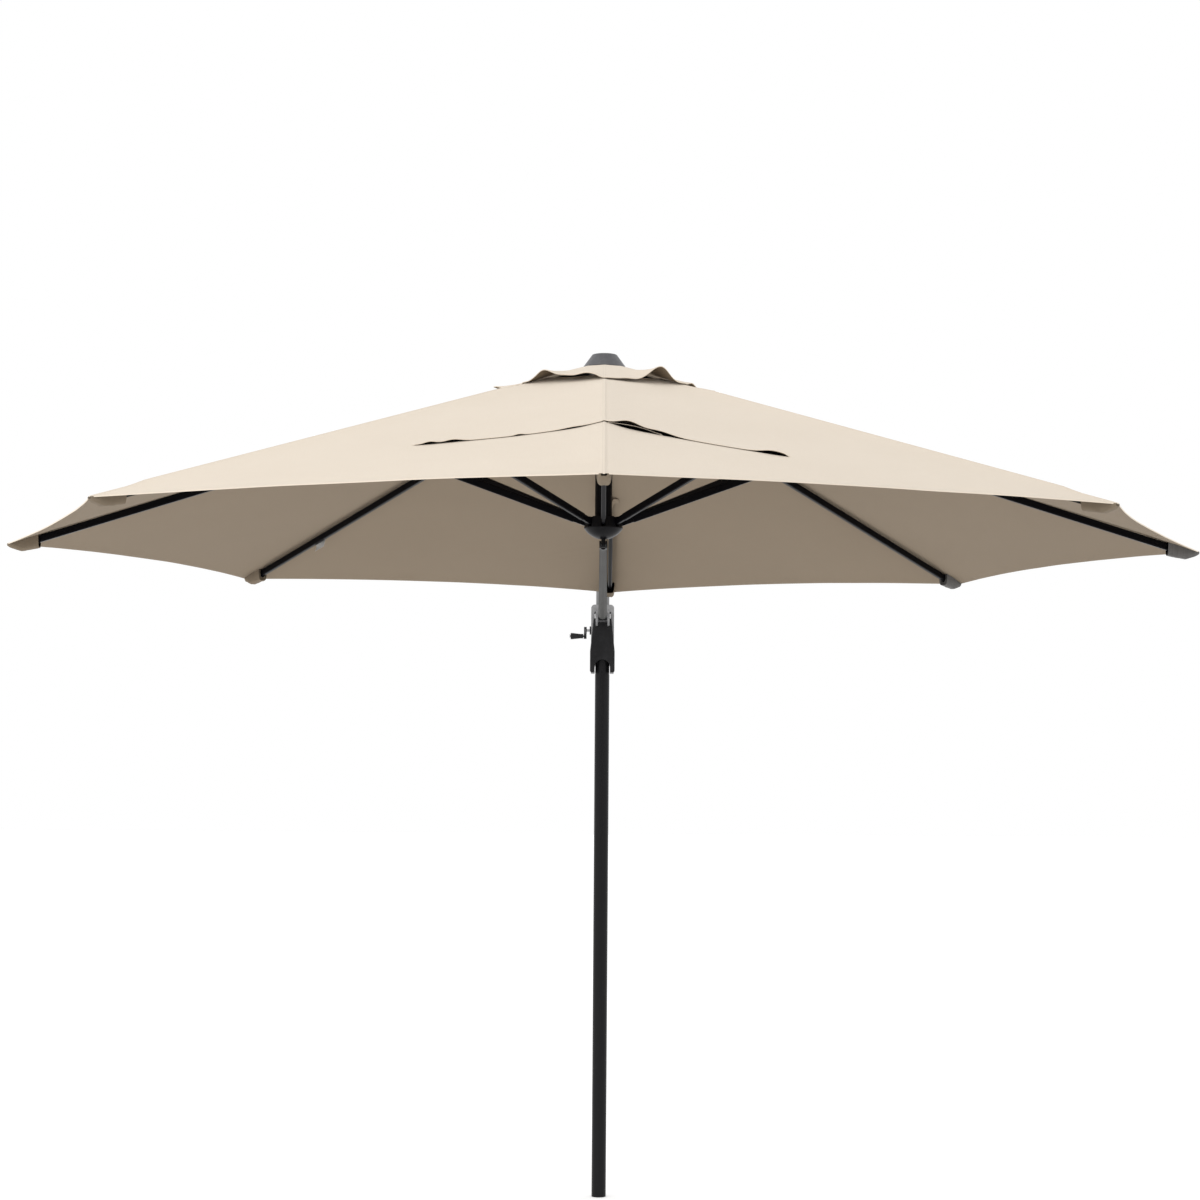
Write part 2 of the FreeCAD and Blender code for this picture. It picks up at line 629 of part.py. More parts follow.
def make_housing():
    """Both halves of the crank housing, split on the middle plane."""
    whole = housing_outline()
    cavity = box(-housing_half_width + housing_wall, housing_half_width - housing_wall,
                 upper_radius - 1, housing_back - housing_wall,
                 reel_height - reel_flange_radius - reel_room,
                 reel_height + reel_flange_radius + reel_room)
    whole = whole.cut(cavity)
    whole = whole.cut(Part.makeCylinder(mast_radius - mast_neck_step,
                                        mast_top + insert_collar - housing_bottom,
                                        V(0, 0, housing_bottom)))
    whole = whole.cut(Part.makeCylinder(upper_radius, housing_top, V(0, 0, mast_top)))
    whole = whole.cut(bar_x(bush_radius, -housing_half_width - 1, 0, reel_back, reel_height))
    whole = whole.cut(fork_arch(-housing_front - 1, housing_back + 1))
    for z in screw_levels:
        for y in screw_rows:
            whole = whole.cut(bar_x(screw_radius, 0, screw_length, y, z))
            whole = whole.cut(bar_x(screw_radius, -screw_length, 0, y, z))
    ears = []
    for side in (-1, 1):
        inner = arm_eye_width / 2 + ear_gap
        low, high = sorted((side * inner, side * (inner + ear_wall)))
        root = -housing_front
        ear = plate_x(low, high, [(root, ear_height + ear_radius),
                                  (-ear_reach, ear_height + ear_radius),
                                  (-ear_reach, ear_height - ear_radius),
                                  (root, ear_height - ear_radius - ear_root_drop)])
        ear = ear.fuse(bar_x(ear_radius, low, high, -ear_reach, ear_height))
        ears.append(ear.cut(bar_x(ear_bolt_radius, low - 1, high + 1, -ear_reach, ear_height)))
    halves = []
    for side, ear in zip((-1, 1), ears):
        low, high = sorted((0.0, side * (housing_half_width + 1)))
        half = whole.common(box(low, high, -housing_front - 1, housing_back + 1,
                                housing_bottom - 1, housing_top + 1))
        halves.append(half.fuse(ear).removeSplitter())
    return halves


def make_cover():
    """Black front cover: narrow at the top, full width below, with an arch over the mast."""
    low = housing_bottom
    high = housing_top - cover_top_drop
    flare = low + cover_flare_height
    points = [(-cover_bottom_half, low), (cover_bottom_half, low), (cover_bottom_half, flare),
              (cover_top_half, high), (-cover_top_half, high), (-cover_bottom_half, flare)]
    wire = Part.makePolygon([V(x, -housing_front, z) for x, z in points + points[:1]])
    cover = Part.Face(wire).extrude(V(0, -cover_thickness, 0))
    front = -housing_front - cover_thickness
    cover = round_edges(cover, cover_corner,
                        lambda e: e.BoundBox.XLength < 0.01 and e.BoundBox.ZLength < 0.01)
    cover = round_edges(cover, cover_edge,
                        lambda e: e.BoundBox.YLength < 0.01 and abs(e.BoundBox.YMin - front) < 0.01)
    cover = cover.cut(fork_arch(front - 1, 0))
    inner = arm_eye_width / 2 + ear_gap
    for side in (-1, 1):
        near, far = sorted((side * (inner - 0.01), side * (inner + ear_wall + 0.01)))
        cover = cover.cut(box(near, far, front - 1, 0, ear_height - ear_radius - ear_slot_drop, high + 1))
    cover = cover.cut(box(-inner, inner, front - 1, 0, ear_height - ear_radius, high + 1))
    return cover.removeSplitter()


def make_screws():
    screws = []
    for z in screw_levels:
        for y in screw_rows:
            screws.append(bar_x(screw_radius, -screw_length, screw_length, y, z))
    return Part.makeCompound(screws)


def make_ear_bolts():
    bolts = []
    for side in (-1, 1):
        inner = side * (arm_eye_width / 2 + ear_gap)
        outer = inner + side * ear_wall
        head = outer + side * ear_head_height
        shank = bar_x(ear_bolt_radius, min(inner, outer), max(inner, outer), -ear_reach, ear_height)
        cap = bar_x(ear_head_radius, min(outer, head), max(outer, head), -ear_reach, ear_height)
        cap = round_edges(cap, ear_head_round,
                          lambda e: e.BoundBox.XLength < 0.01 and abs(e.BoundBox.XMin - head) < 0.01)
        bolts.append(cap.fuse(shank))
    return Part.makeCompound(bolts)


def make_insert():
    """Connector pressed into both tubes, with a collar between them."""
    low = mast_top - insert_depth
    insert = Part.makeCylinder(mast_radius - mast_wall, insert_depth, V(0, 0, low))
    insert = insert.fuse(Part.makeCylinder(mast_radius - mast_neck_step, insert_collar,
                                           V(0, 0, mast_top)))
    top = mast_top + insert_collar
    insert = insert.fuse(Part.makeCylinder(upper_radius - upper_wall, insert_rise, V(0, 0, top)))
    bore = upper_radius - upper_wall - insert_wall
    return insert.cut(Part.makeCylinder(bore, insert_depth + insert_collar + insert_rise, V(0, 0, low)))


def make_mast():
    """Mast tube, with the top turned down where the housing grips it."""
    shoulder = housing_bottom - mast_neck_below
    mast = Part.makeCylinder(mast_radius, shoulder)
    mast = mast.fuse(Part.makeCylinder(mast_radius - mast_neck_step, mast_top))
    return mast.cut(Part.makeCylinder(mast_radius - mast_wall, mast_top))


def make_foot_plug():
    """Plug that closes the foot of the mast, flush with the tube's end."""
    plug = Part.makeCylinder(mast_radius - mast_wall, foot_plug_depth)
    return round_edges(plug, foot_plug_round, lambda e: e.BoundBox.ZMax < 0.01)


def make_shaft():
    return bar_x(shaft_radius, -shaft_left, shaft_right, reel_back, reel_height)


def make_reel():
    half = reel_half_width
    reel = bar_x(reel_radius, -half, half, reel_back, reel_height)
    for edge in (-half, half - reel_flange):
        reel = reel.fuse(bar_x(reel_flange_radius, edge, edge + reel_flange, reel_back, reel_height))
    return reel.cut(bar_x(shaft_radius, -half - 1, half + 1, reel_back, reel_height)).removeSplitter()


def make_bush():
    out = -housing_half_width
    bush = bar_x(bush_flange_radius, out - bush_flange, out, reel_back, reel_height)
    bush = bush.fuse(bar_x(bush_radius, out, out + bush_inner, reel_back, reel_height))
    return bush.cut(bar_x(shaft_radius + hinge_clearance, out - 20, out + 20, reel_back, reel_height))


def make_crank():
    """Crank plate with its boss on the shaft and the grip's axle at the other end."""
    out = -shaft_left
    inside = out + crank_plate
    boss = bar_x(crank_boss_radius, out, inside, 0, 0)
    end = bar_x(crank_end_radius, out, inside, -crank_length, 0)
    web = plate_x(out + crank_web_step, inside - crank_web_step,
                  [(0, crank_boss_radius - 3), (-crank_length, crank_end_radius - 2),
                   (-crank_length, -crank_end_radius + 2), (0, -crank_boss_radius + 3)])
    axle_out = out - grip_washer - grip_gap - grip_length
    axle = bar_x(grip_axle_radius, axle_out - 1.0, out, -crank_length, 0)
    crank = boss.fuse(end).fuse(web).fuse(axle)
    crank = crank.cut(bar_x(shaft_radius, out - 1, inside + 1, 0, 0))
    crank.rotate(V(0, 0, 0), V(1, 0, 0), crank_angle)
    crank.translate(V(0, reel_back, reel_height))
    return crank.removeSplitter()


def make_grip():
    out = -shaft_left - grip_gap - grip_washer
    end = out - grip_length
    grip = Part.makeCone(grip_large_radius, grip_small_radius, grip_length - grip_neck,
                         V(end, 0, 0), V(1, 0, 0))
    grip = grip.fuse(bar_x(grip_small_radius, out - grip_neck, out, 0, 0))
    grip = round_edges(grip, 3.0, lambda e: abs(e.BoundBox.XMax - end) < 0.01)
    grip = grip.cut(bar_x(grip_axle_radius + hinge_clearance, end - 5, out + 5, 0, 0))
    angle = math.radians(crank_angle)
    grip.translate(V(0, reel_back - crank_length * math.cos(angle),
                     reel_height - crank_length * math.sin(angle)))
    return grip


def make_grip_screw():
    """Screw and washer in the end of the grip's axle."""
    end = -shaft_left - grip_gap - grip_washer - grip_length - 1.0
    head = bar_x(grip_axle_radius + 3.0, end - 2.5, end, 0, 0)
    head = round_edges(head, 1.0, lambda e: abs(e.BoundBox.XMax - end + 2.5) < 0.01)
    angle = math.radians(crank_angle)
    head.translate(V(0, reel_back - crank_length * math.cos(angle),
                     reel_height - crank_length * math.sin(angle)))
    return head


# ---- build ----
strut = make_strut()
for index in range(rib_count):
    number = str(index + 1)
    side = -set_side if index == set_rib else 0.0
    end_cap = make_end_cap()
    end_cap.translate(V(0, side, 0))
    gore = cloth_wedge(cloth_hole_radius, canopy_radius, hem_sag, 0.0, cloth_gap, side)
    save(on_rib(make_rib(side), index), "rib_" + number)
    save(place_strut(strut, index), "strut_" + number)
    save(on_rib(end_cap, index), "rib_end_cap_" + number)
    save(around_axis(gore, index), "canopy_gore_" + number)
save(make_vent(), "vent_canopy")
save(on_rib(make_label(), 5), "care_label")
save(make_crown(), "crown_body")
save(make_crown_pins(), "crown_hinge_pins")
save(bar_x(lean_pin_radius, -bracket_half, bracket_half, -reach, lean_z), "crown_swing_pin")
save(make_cap(), "crown_cap")
save(make_bracket(), "upper_mast_bracket")
save(make_upper_mast(), "upper_mast_tube")
save(make_hub(), "canopy_hub")
save(tube(neck_radius, neck_wall, neck_top - neck_bottom, V(0, -reach, neck_bottom), V(0, 0, 1)),
     "hub_neck_tube")
save(make_arm_tube(), "guide_arm_tube")
save(make_arm_fork(), "guide_arm_fork")
save(make_arm_pin(), "guide_arm_pin")
save(make_arm_eye(), "guide_arm_eye")
left, right = make_housing()
save(left, "housing_left")
save(right, "housing_right")
save(make_cover(), "housing_front_cover")
save(make_screws(), "housing_screws")
save(make_ear_bolts(), "arm_pivot_bolts")
save(make_mast(), "mast_tube")
save(make_insert(), "mast_insert")
save(make_foot_plug(), "mast_foot_plug")
save(make_shaft(), "crank_shaft")
save(make_reel(), "cord_reel")
save(make_bush(), "crank_bush")
save(make_crank(), "crank_handle")
save(make_grip(), "crank_grip")
save(make_grip_screw(), "grip_screw")
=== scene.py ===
import bpy
import json
import math
import numpy as np
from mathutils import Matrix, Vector, noise


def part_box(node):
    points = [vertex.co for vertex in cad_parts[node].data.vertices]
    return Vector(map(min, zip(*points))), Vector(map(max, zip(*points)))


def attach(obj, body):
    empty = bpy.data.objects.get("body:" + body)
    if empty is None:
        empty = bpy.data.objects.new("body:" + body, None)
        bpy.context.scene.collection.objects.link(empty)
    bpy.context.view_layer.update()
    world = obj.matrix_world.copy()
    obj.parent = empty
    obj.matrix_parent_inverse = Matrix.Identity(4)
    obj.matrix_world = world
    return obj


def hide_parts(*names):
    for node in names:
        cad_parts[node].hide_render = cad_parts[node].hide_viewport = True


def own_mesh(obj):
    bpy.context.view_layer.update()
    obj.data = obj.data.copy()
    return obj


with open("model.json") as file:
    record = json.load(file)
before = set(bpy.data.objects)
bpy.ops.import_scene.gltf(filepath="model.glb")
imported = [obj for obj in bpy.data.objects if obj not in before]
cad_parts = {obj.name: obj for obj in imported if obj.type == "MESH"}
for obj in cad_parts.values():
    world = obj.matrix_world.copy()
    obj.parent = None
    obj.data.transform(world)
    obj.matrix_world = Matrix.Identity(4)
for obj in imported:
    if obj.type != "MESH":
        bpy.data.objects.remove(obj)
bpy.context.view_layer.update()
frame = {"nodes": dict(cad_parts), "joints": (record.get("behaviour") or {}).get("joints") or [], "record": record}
nodes = frame["nodes"]
joints = {j["name"]: j for j in frame["joints"]}
print("umbrella frame loaded:", len(nodes), "nodes")

# the canopy's middle, hinges and corners come from the frame's joints and boxes
ribCount = 8
ribHinges = [Vector(joints[f"rib_fold_{n + 1}"]["pos_m"]) for n in range(ribCount)]
canopyMid = sum(ribHinges, Vector()) / ribCount
hingeRadius = (ribHinges[0] - canopyMid).length
cornerRadius = canopyMid.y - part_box("canopy_gore_1")[0].y
ribWay = [(h - canopyMid).normalized() for h in ribHinges]
up = Vector((0, 0, 1))
halfStep = math.pi / ribCount

canopyCloth = {
    "slope": math.radians(17.2), "ridgeRise": 0.0120, "thickness": 0.0012, "hole": 0.195,
    "sag": 0.010, "sagEnds": 0.25, "sagShift": 0.9, "hemPull": 0.042,
    "hemBand": 0.020, "hemStep": 0.0008, "hemEdge": 0.0015, "hemFold": 0.0012,
    "seamHalf": 0.0050, "seamRise": 0.0007, "seamEdge": 0.0015, "seamSteps": (0.0, 0.0020, 0.0038),
    # the far rib's outer end stands to one side, and its cloth goes with it
    "setRib": 4, "setSide": 0.022, "setFrom": 0.62, "setTo": 1.01,
    # between these distances the cloth stands a little off the ribs
    "looseFrom": (0.29, 0.36), "looseTo": (1.36, 1.41), "looseRise": 0.0040, "looseWide": 0.045,
    "rows": 56, "columns": 20, "foldedShare": 0.205, "nearCut": 0.595,
}
clothWaves = {
    # soft waves all over: height, waves in a metre, seed
    "soft": [(0.0020, 2.6, 1.7), (0.0006, 9.0, 5.1)],
    # creases beside the far rib: height, pitch, lean, where they come and go, middle and width
    "creases": [(0.0032, 0.044, 0.05, (1.06, 1.11, 1.18, 1.24), (-0.05, 0.12)),
                (0.0016, 0.034, 0.0, (1.10, 1.14, 1.26, 1.32), (0.09, 0.07))],
}
panelSlope = math.atan(math.tan(canopyCloth["slope"]) / math.cos(halfStep))


def smooth(a, b, x):
    t = min(1.0, max(0.0, (x - a) / (b - a)))
    return t * t * (3 - 2 * t)


def hump(x, middle, width):
    return math.exp(-((x - middle) / width) ** 2)


def ribGap(flat):
    # from one rib to the next, at that distance from the middle
    return 2 * flat * math.sin(halfStep)


def slopeLength(flat):
    return flat / math.cos(canopyCloth["slope"])


def acrossRib(rib):
    return Vector((-ribWay[rib].y, ribWay[rib].x, 0))


def fallBeside(across):
    # drop of the cloth from the ridge, that far to its side
    return abs(across) * math.tan(halfStep) * math.tan(canopyCloth["slope"])


def ridgePoint(rib, flat):
    # lower face of the cloth over a rib, at that distance from the middle
    c = canopyCloth
    point = canopyMid + ribWay[rib % ribCount] * flat
    point.z += c["ridgeRise"] - (flat - hingeRadius) * math.tan(c["slope"])
    if rib % ribCount == c["setRib"]:
        point.x += c["setSide"] * smooth(c["setFrom"], c["setTo"], flat)
    return point


def panelWay(rib, side):
    # level way out along the middle of the panel beside a rib
    return (ribWay[rib % ribCount] + ribWay[(rib + side) % ribCount]).normalized()


def panelNormal(rib, side):
    return panelWay(rib, side) * math.sin(panelSlope) + up * math.cos(panelSlope)


def downPanel(rib, side):
    return panelWay(rib, side) * math.cos(panelSlope) - up * math.sin(panelSlope)


def clothWave(point):
    x, y = point.x - canopyMid.x, point.y - canopyMid.y
    wave = 0.0
    for high, many, seed in clothWaves["soft"]:
        wave += high * noise.noise(Vector((x * many, y * many, seed)))
    for high, pitch, lean, (come, full, fade, gone), (middle, width) in clothWaves["creases"]:
        shown = smooth(come, full, y) * (1 - smooth(fade, gone, y)) * hump(x, middle, width)
        wave += high * shown * math.sin(2 * math.pi * (y + lean * x) / pitch)
    return wave


def clothPoint(rib, side, flat, share):
    # lower face of the cloth, that share of the way from a rib to its neighbour
    c = canopyCloth
    point = ridgePoint(rib, flat).lerp(ridgePoint(rib + side, flat), share)
    fall = max(0.0, (flat - c["hole"]) / (cornerRadius - c["hole"]))
    bow = 4 * share * (1 - share)
    normal = panelNormal(rib, side)
    arch = math.sin(math.pi * min(1.0, fall) ** c["sagShift"])
    point -= downPanel(rib, side) * c["hemPull"] * bow * fall ** 3
    point -= normal * c["sag"] * bow * (c["sagEnds"] + (1 - c["sagEnds"]) * arch)
    point += normal * clothWave(point) * bow ** 0.5
    free = smooth(*c["looseFrom"], flat) * (1 - smooth(*c["looseTo"], flat))
    point += up * c["looseRise"] * free * hump(share * ribGap(flat), 0, c["looseWide"])
    return point


def seamLift(across):
    # raised felled seam along a ridge
    c = canopyCloth
    return c["seamRise"] * min(1.0, max(0.0, (c["seamHalf"] - abs(across)) / c["seamEdge"]))


def newPiece(name, points, faces, uvs, materials, materialIds):
    mesh = bpy.data.meshes.new(name)
    mesh.from_pydata([tuple(p) for p in points], [], faces)
    layer = mesh.uv_layers.new(name="UVMap")
    loopVerts = np.zeros(len(mesh.loops), dtype=np.int32)
    mesh.loops.foreach_get("vertex_index", loopVerts)
    layer.data.foreach_set("uv", np.asarray(uvs, dtype=np.float32)[loopVerts].ravel())
    for material in materials:
        mesh.materials.append(material)
    mesh.polygons.foreach_set("material_index", np.asarray(materialIds, dtype=np.int32))
    mesh.polygons.foreach_set("use_smooth", np.ones(len(faces), dtype=bool))
    mesh.set_sharp_from_angle(angle=math.radians(50))
    mesh.update()
    piece = bpy.data.objects.new(name, mesh)
    bpy.context.scene.collection.objects.link(piece)
    return piece


def sheetGrid(rows, columns, place):
    # place(row, column) gives a top point, the bottom point under it, and its spot on the flat cloth
    cells = [[place(r, k) for k in range(columns)] for r in range(rows)]
    return [[[cell[part] for cell in row] for row in cells] for part in range(3)]


def twoFacedSheet(name, top, bottom, uv, materials):
    # closed sheet from two grids of points, [row][column]; the first material on top, the second below (on the
    # canopy, the cloth's underside darkened with painted shade)
    rows, columns = len(top), len(top[0])
    points = [p for row in top for p in row] + [p for row in bottom for p in row]
    uvs = [q for row in uv for q in row] * 2
    faces, ids = [], []
    under = rows * columns
    for r in range(rows - 1):
        for k in range(columns - 1):
            a = r * columns + k
            faces.append((a, a + columns, a + columns + 1, a + 1))
            faces.append((under + a, under + a + 1, under + a + columns + 1, under + a + columns))
            ids += [0, 1]
    for k in range(columns - 1):
        z = (rows - 1) * columns + k
        faces.append((k, k + 1, under + k + 1, under + k))
        faces.append((z, under + z, under + z + 1, z + 1))
        ids += [0, 0]
    for r in range(rows - 1):
        a = r * columns
        z = a + columns - 1
        faces.append((a, under + a, under + a + columns, a + columns))
        faces.append((z, z + columns, under + z + columns, under + z))
        ids += [0, 0]
    return newPiece(name, points, faces, uvs, materials, ids)


# effects that several finishes share, as node groups
def newGroup(name, inputs, outputs):
    group = bpy.data.node_groups.new(name, "ShaderNodeTree")
    for label, kind, value in inputs:
        socket = group.interface.new_socket(name=label, in_out="INPUT", socket_type=kind)
        socket.default_value = value
    for label, kind in outputs:
        group.interface.new_socket(name=label, in_out="OUTPUT", socket_type=kind)
    return group, group.nodes.new("NodeGroupInput"), group.nodes.new("NodeGroupOutput")


def mathNode(tree, operation, a, b=None, clamp=False):
    node = tree.nodes.new("ShaderNodeMath")
    node.operation = operation
    node.use_clamp = clamp
    for k, value in enumerate((a, b)):
        if isinstance(value, (int, float)):
            node.inputs[k].default_value = value
        elif value is not None:
            tree.links.new(value, node.inputs[k])
    return node.outputs[0]


def noiseNode(tree, vector, scale, detail, rough=0.5):
    # scale is a number, or a socket that sets it
    node = tree.nodes.new("ShaderNodeTexNoise")
    if isinstance(scale, float):
        node.inputs["Scale"].default_value = scale
    else:
        tree.links.new(scale, node.inputs["Scale"])
    node.inputs["Detail"].default_value = detail
    node.inputs["Roughness"].default_value = rough
    tree.links.new(vector, node.inputs["Vector"])
    return node.outputs["Fac"]


def mixColour(tree, factor, a, b):
    node = tree.nodes.new("ShaderNodeMix")
    node.data_type = "RGBA"
    for socket, value in ((node.inputs[0], factor), (node.inputs[6], a), (node.inputs[7], b)):
        if isinstance(value, tuple):
            socket.default_value = (*value, 1.0)
        else:
            tree.links.new(value, socket)
    return node.outputs[2]


def rangeNode(tree, value, found, wanted):
    node = tree.nodes.new("ShaderNodeMapRange")
    tree.links.new(value, node.inputs["Value"])
    for label, number in zip(("From Min", "From Max", "To Min", "To Max"), found + wanted):
        node.inputs[label].default_value = number
    return node.outputs["Result"]


def splitNode(tree, vector):
    node = tree.nodes.new("ShaderNodeSeparateXYZ")
    tree.links.new(vector, node.inputs[0])
    return node.outputs


def makeWeaveGroup():
    group, start, end = newGroup("cloth weave", [
        ("Cloth", "NodeSocketColor", (0.8, 0.7, 0.58, 1)), ("Shade", "NodeSocketColor", (0.7, 0.6, 0.5, 1)),
        ("Thread", "NodeSocketFloat", 0.0011), ("Mottle", "NodeSocketFloat", 0.3)],
        [("Colour", "NodeSocketColor"), ("Height", "NodeSocketFloat")])
    uv = group.nodes.new("ShaderNodeUVMap").outputs["UV"]
    flat = splitNode(group, uv)
    turn = mathNode(group, "DIVIDE", 2 * math.pi, start.outputs["Thread"])
    warp = mathNode(group, "SINE", mathNode(group, "MULTIPLY", flat[0], turn))
    weft = mathNode(group, "SINE", mathNode(group, "MULTIPLY", flat[1], turn))
    weave = mathNode(group, "MULTIPLY", warp, weft)
    slubs = []
    for stretch in ((260.0, 14.0, 1.0), (14.0, 260.0, 1.0)):
        drawn = group.nodes.new("ShaderNodeMapping")
        drawn.inputs["Scale"].default_value = stretch
        group.links.new(uv, drawn.inputs["Vector"])
        slubs.append(noiseNode(group, drawn.outputs[0], scale=1.0, detail=3.0))
    place = group.nodes.new("ShaderNodeTexCoord").outputs["Object"]
    cloud = noiseNode(group, place, scale=2.4, detail=4.0, rough=0.55)
    both = mathNode(group, "ADD", *slubs)
    tone = rangeNode(group, both, (0.75, 1.25), (0.0, 1.0))
    soft = rangeNode(group, cloud, (0.35, 0.65), (0.0, 1.0))
    tone, soft = [mathNode(group, "MULTIPLY", part, start.outputs["Mottle"]) for part in (tone, soft)]
    mask = mathNode(group, "ADD", tone, soft, clamp=True)
    colour = mixColour(group, mask, start.outputs["Cloth"], start.outputs["Shade"])
    group.links.new(colour, end.inputs["Colour"])
    threadHeight = mathNode(group, "MULTIPLY", weave, 0.35)
    slubHeight = mathNode(group, "MULTIPLY", both, 0.5)
    group.links.new(mathNode(group, "ADD", threadHeight, slubHeight), end.inputs["Height"])
    return group


def makeStitchGroup():
    # dashes of thread beside the ridge seam (across) and above the hem (along)
    group, start, end = newGroup("stitch rows", [
        ("Seam Offset", "NodeSocketFloat", 0.0032), ("Hem Offset", "NodeSocketFloat", 0.0165),
        ("Pitch", "NodeSocketFloat", 0.0042)], [("Thread", "NodeSocketFloat")])
    across, along, _ = splitNode(group, group.nodes.new("ShaderNodeUVMap").outputs["UV"])
    threadHalf, stitchShare = 0.0006, 0.68

    def row(value, offset, run):
        beside = mathNode(group, "SUBTRACT", mathNode(group, "ABSOLUTE", value), offset)
        on = mathNode(group, "LESS_THAN", mathNode(group, "ABSOLUTE", beside), threadHalf)
        step = mathNode(group, "FRACT", mathNode(group, "DIVIDE", run, start.outputs["Pitch"]))
        return mathNode(group, "MULTIPLY", on, mathNode(group, "LESS_THAN", step, stitchShare))

    seams = row(across, start.outputs["Seam Offset"], along)
    hems = row(along, start.outputs["Hem Offset"], across)
    group.links.new(mathNode(group, "MAXIMUM", seams, hems), end.inputs["Thread"])
    return group


def makeCoatGroup():
    # powder coat: orange peel, faint tone change, rubbed specks
    group, start, end = newGroup("powder coat", [
        ("Paint", "NodeSocketColor", (0.02, 0.02, 0.02, 1)),
        ("Rubbed", "NodeSocketColor", (0.07, 0.07, 0.07, 1)),
        ("Peel", "NodeSocketFloat", 900.0), ("Gloss", "NodeSocketFloat", 0.35)],
        [("Colour", "NodeSocketColor"), ("Roughness", "NodeSocketFloat"), ("Height", "NodeSocketFloat")])
    place = group.nodes.new("ShaderNodeTexCoord").outputs["Object"]
    peel = noiseNode(group, place, scale=start.outputs["Peel"], detail=2.0)
    scuff = noiseNode(group, place, scale=37.0, detail=6.0, rough=0.7)
    cloud = noiseNode(group, place, scale=6.0, detail=3.0)
    rub = rangeNode(group, scuff, (0.60, 0.78), (0.0, 0.55))
    colour = mixColour(group, rub, start.outputs["Paint"], start.outputs["Rubbed"])
    group.links.new(colour, end.inputs["Colour"])
    dull = mathNode(group, "MULTIPLY", cloud, 0.16)
    worn = mathNode(group, "MULTIPLY", rub, 0.12)
    vary = mathNode(group, "SUBTRACT", mathNode(group, "ADD", dull, worn), 0.08)
    rough = mathNode(group, "ADD", start.outputs["Gloss"], vary, clamp=True)
    group.links.new(rough, end.inputs["Roughness"])
    group.links.new(peel, end.inputs["Height"])
    return group


def makeGrainGroup():
    # moulded plastic: fine leather-like grain with flow marks
    group, start, end = newGroup("moulded grain", [
        ("Plastic", "NodeSocketColor", (0.1, 0.1, 0.1, 1)),
        ("Faded", "NodeSocketColor", (0.16, 0.16, 0.16, 1)),
        ("Grain", "NodeSocketFloat", 1400.0), ("Gloss", "NodeSocketFloat", 0.5)],
        [("Colour", "NodeSocketColor"), ("Roughness", "NodeSocketFloat"), ("Height", "NodeSocketFloat")])
    place = group.nodes.new("ShaderNodeTexCoord").outputs["Object"]
    cells = group.nodes.new("ShaderNodeTexVoronoi")
    group.links.new(place, cells.inputs["Vector"])
    group.links.new(start.outputs["Grain"], cells.inputs["Scale"])
    cloud = noiseNode(group, place, scale=18.0, detail=5.0, rough=0.6)
    mottle = noiseNode(group, place, scale=120.0, detail=4.0, rough=0.6)
    flow = rangeNode(group, cloud, (0.4, 0.7), (0.0, 0.5))
    speck = rangeNode(group, mottle, (0.5, 0.8), (0.0, 0.4))
    mask = mathNode(group, "ADD", flow, speck, clamp=True)
    colour = mixColour(group, mask, start.outputs["Plastic"], start.outputs["Faded"])
    group.links.new(colour, end.inputs["Colour"])
    vary = mathNode(group, "MULTIPLY", mathNode(group, "SUBTRACT", cloud, 0.5), 0.3)
    rough = mathNode(group, "ADD", start.outputs["Gloss"], vary, clamp=True)
    group.links.new(rough, end.inputs["Roughness"])
    group.links.new(cells.outputs["Distance"], end.inputs["Height"])
    return group


weaveGroup = makeWeaveGroup()
stitchGroup = makeStitchGroup()
coatGroup = makeCoatGroup()
grainGroup = makeGrainGroup()
print("cloth, stitch, paint and plastic effects built")


# finishes
def placeGroup(tree, group, values):
    node = tree.nodes.new("ShaderNodeGroup")
    node.node_tree = group
    for label, value in values.items():
        node.inputs[label].default_value = (*value, 1.0) if isinstance(value, tuple) else value
    return node


def newMaterial(name):
    material = bpy.data.materials.new(name)
    material.use_nodes = True
    tree = material.node_tree
    return material, tree, tree.nodes["Principled BSDF"]


def addBump(tree, shader, height, distance, strength):
    bump = tree.nodes.new("ShaderNodeBump")
    bump.inputs["Distance"].default_value = distance
    bump.inputs["Strength"].default_value = strength
    tree.links.new(height, bump.inputs["Height"])
    tree.links.new(bump.outputs["Normal"], shader.inputs["Normal"])


stitchRows = {"Seam Offset": 0.0032, "Hem Offset": 0.0165, "Pitch": 0.0042}
stitchLook = {"shade": 0.72, "shown": 0.4, "height": 2.0}


def clothMaterial(name, cloth, shade, mottle=0.28, stitched=True, sheen=0.12, thread=0.0011):
    material, tree, shader = newMaterial(name)
    weave = placeGroup(tree, weaveGroup, {"Cloth": cloth, "Shade": shade, "Thread": thread, "Mottle": mottle})
    colour, height = weave.outputs["Colour"], weave.outputs["Height"]
    if stitched:
        stitch = placeGroup(tree, stitchGroup, stitchRows).outputs["Thread"]
        dark = tuple(c * stitchLook["shade"] for c in cloth)
        colour = mixColour(tree, mathNode(tree, "MULTIPLY", stitch, stitchLook["shown"]), colour, dark)
        height = mathNode(tree, "ADD", height, mathNode(tree, "MULTIPLY", stitch, stitchLook["height"]))
    tree.links.new(colour, shader.inputs["Base Color"])
    shader.inputs["Roughness"].default_value = 0.88
    shader.inputs["Specular IOR Level"].default_value = 0.25
    shader.inputs["Sheen Weight"].default_value = sheen
    shader.inputs["Sheen Roughness"].default_value = 0.5
    addBump(tree, shader, height, distance=0.0004, strength=0.5)
    return material


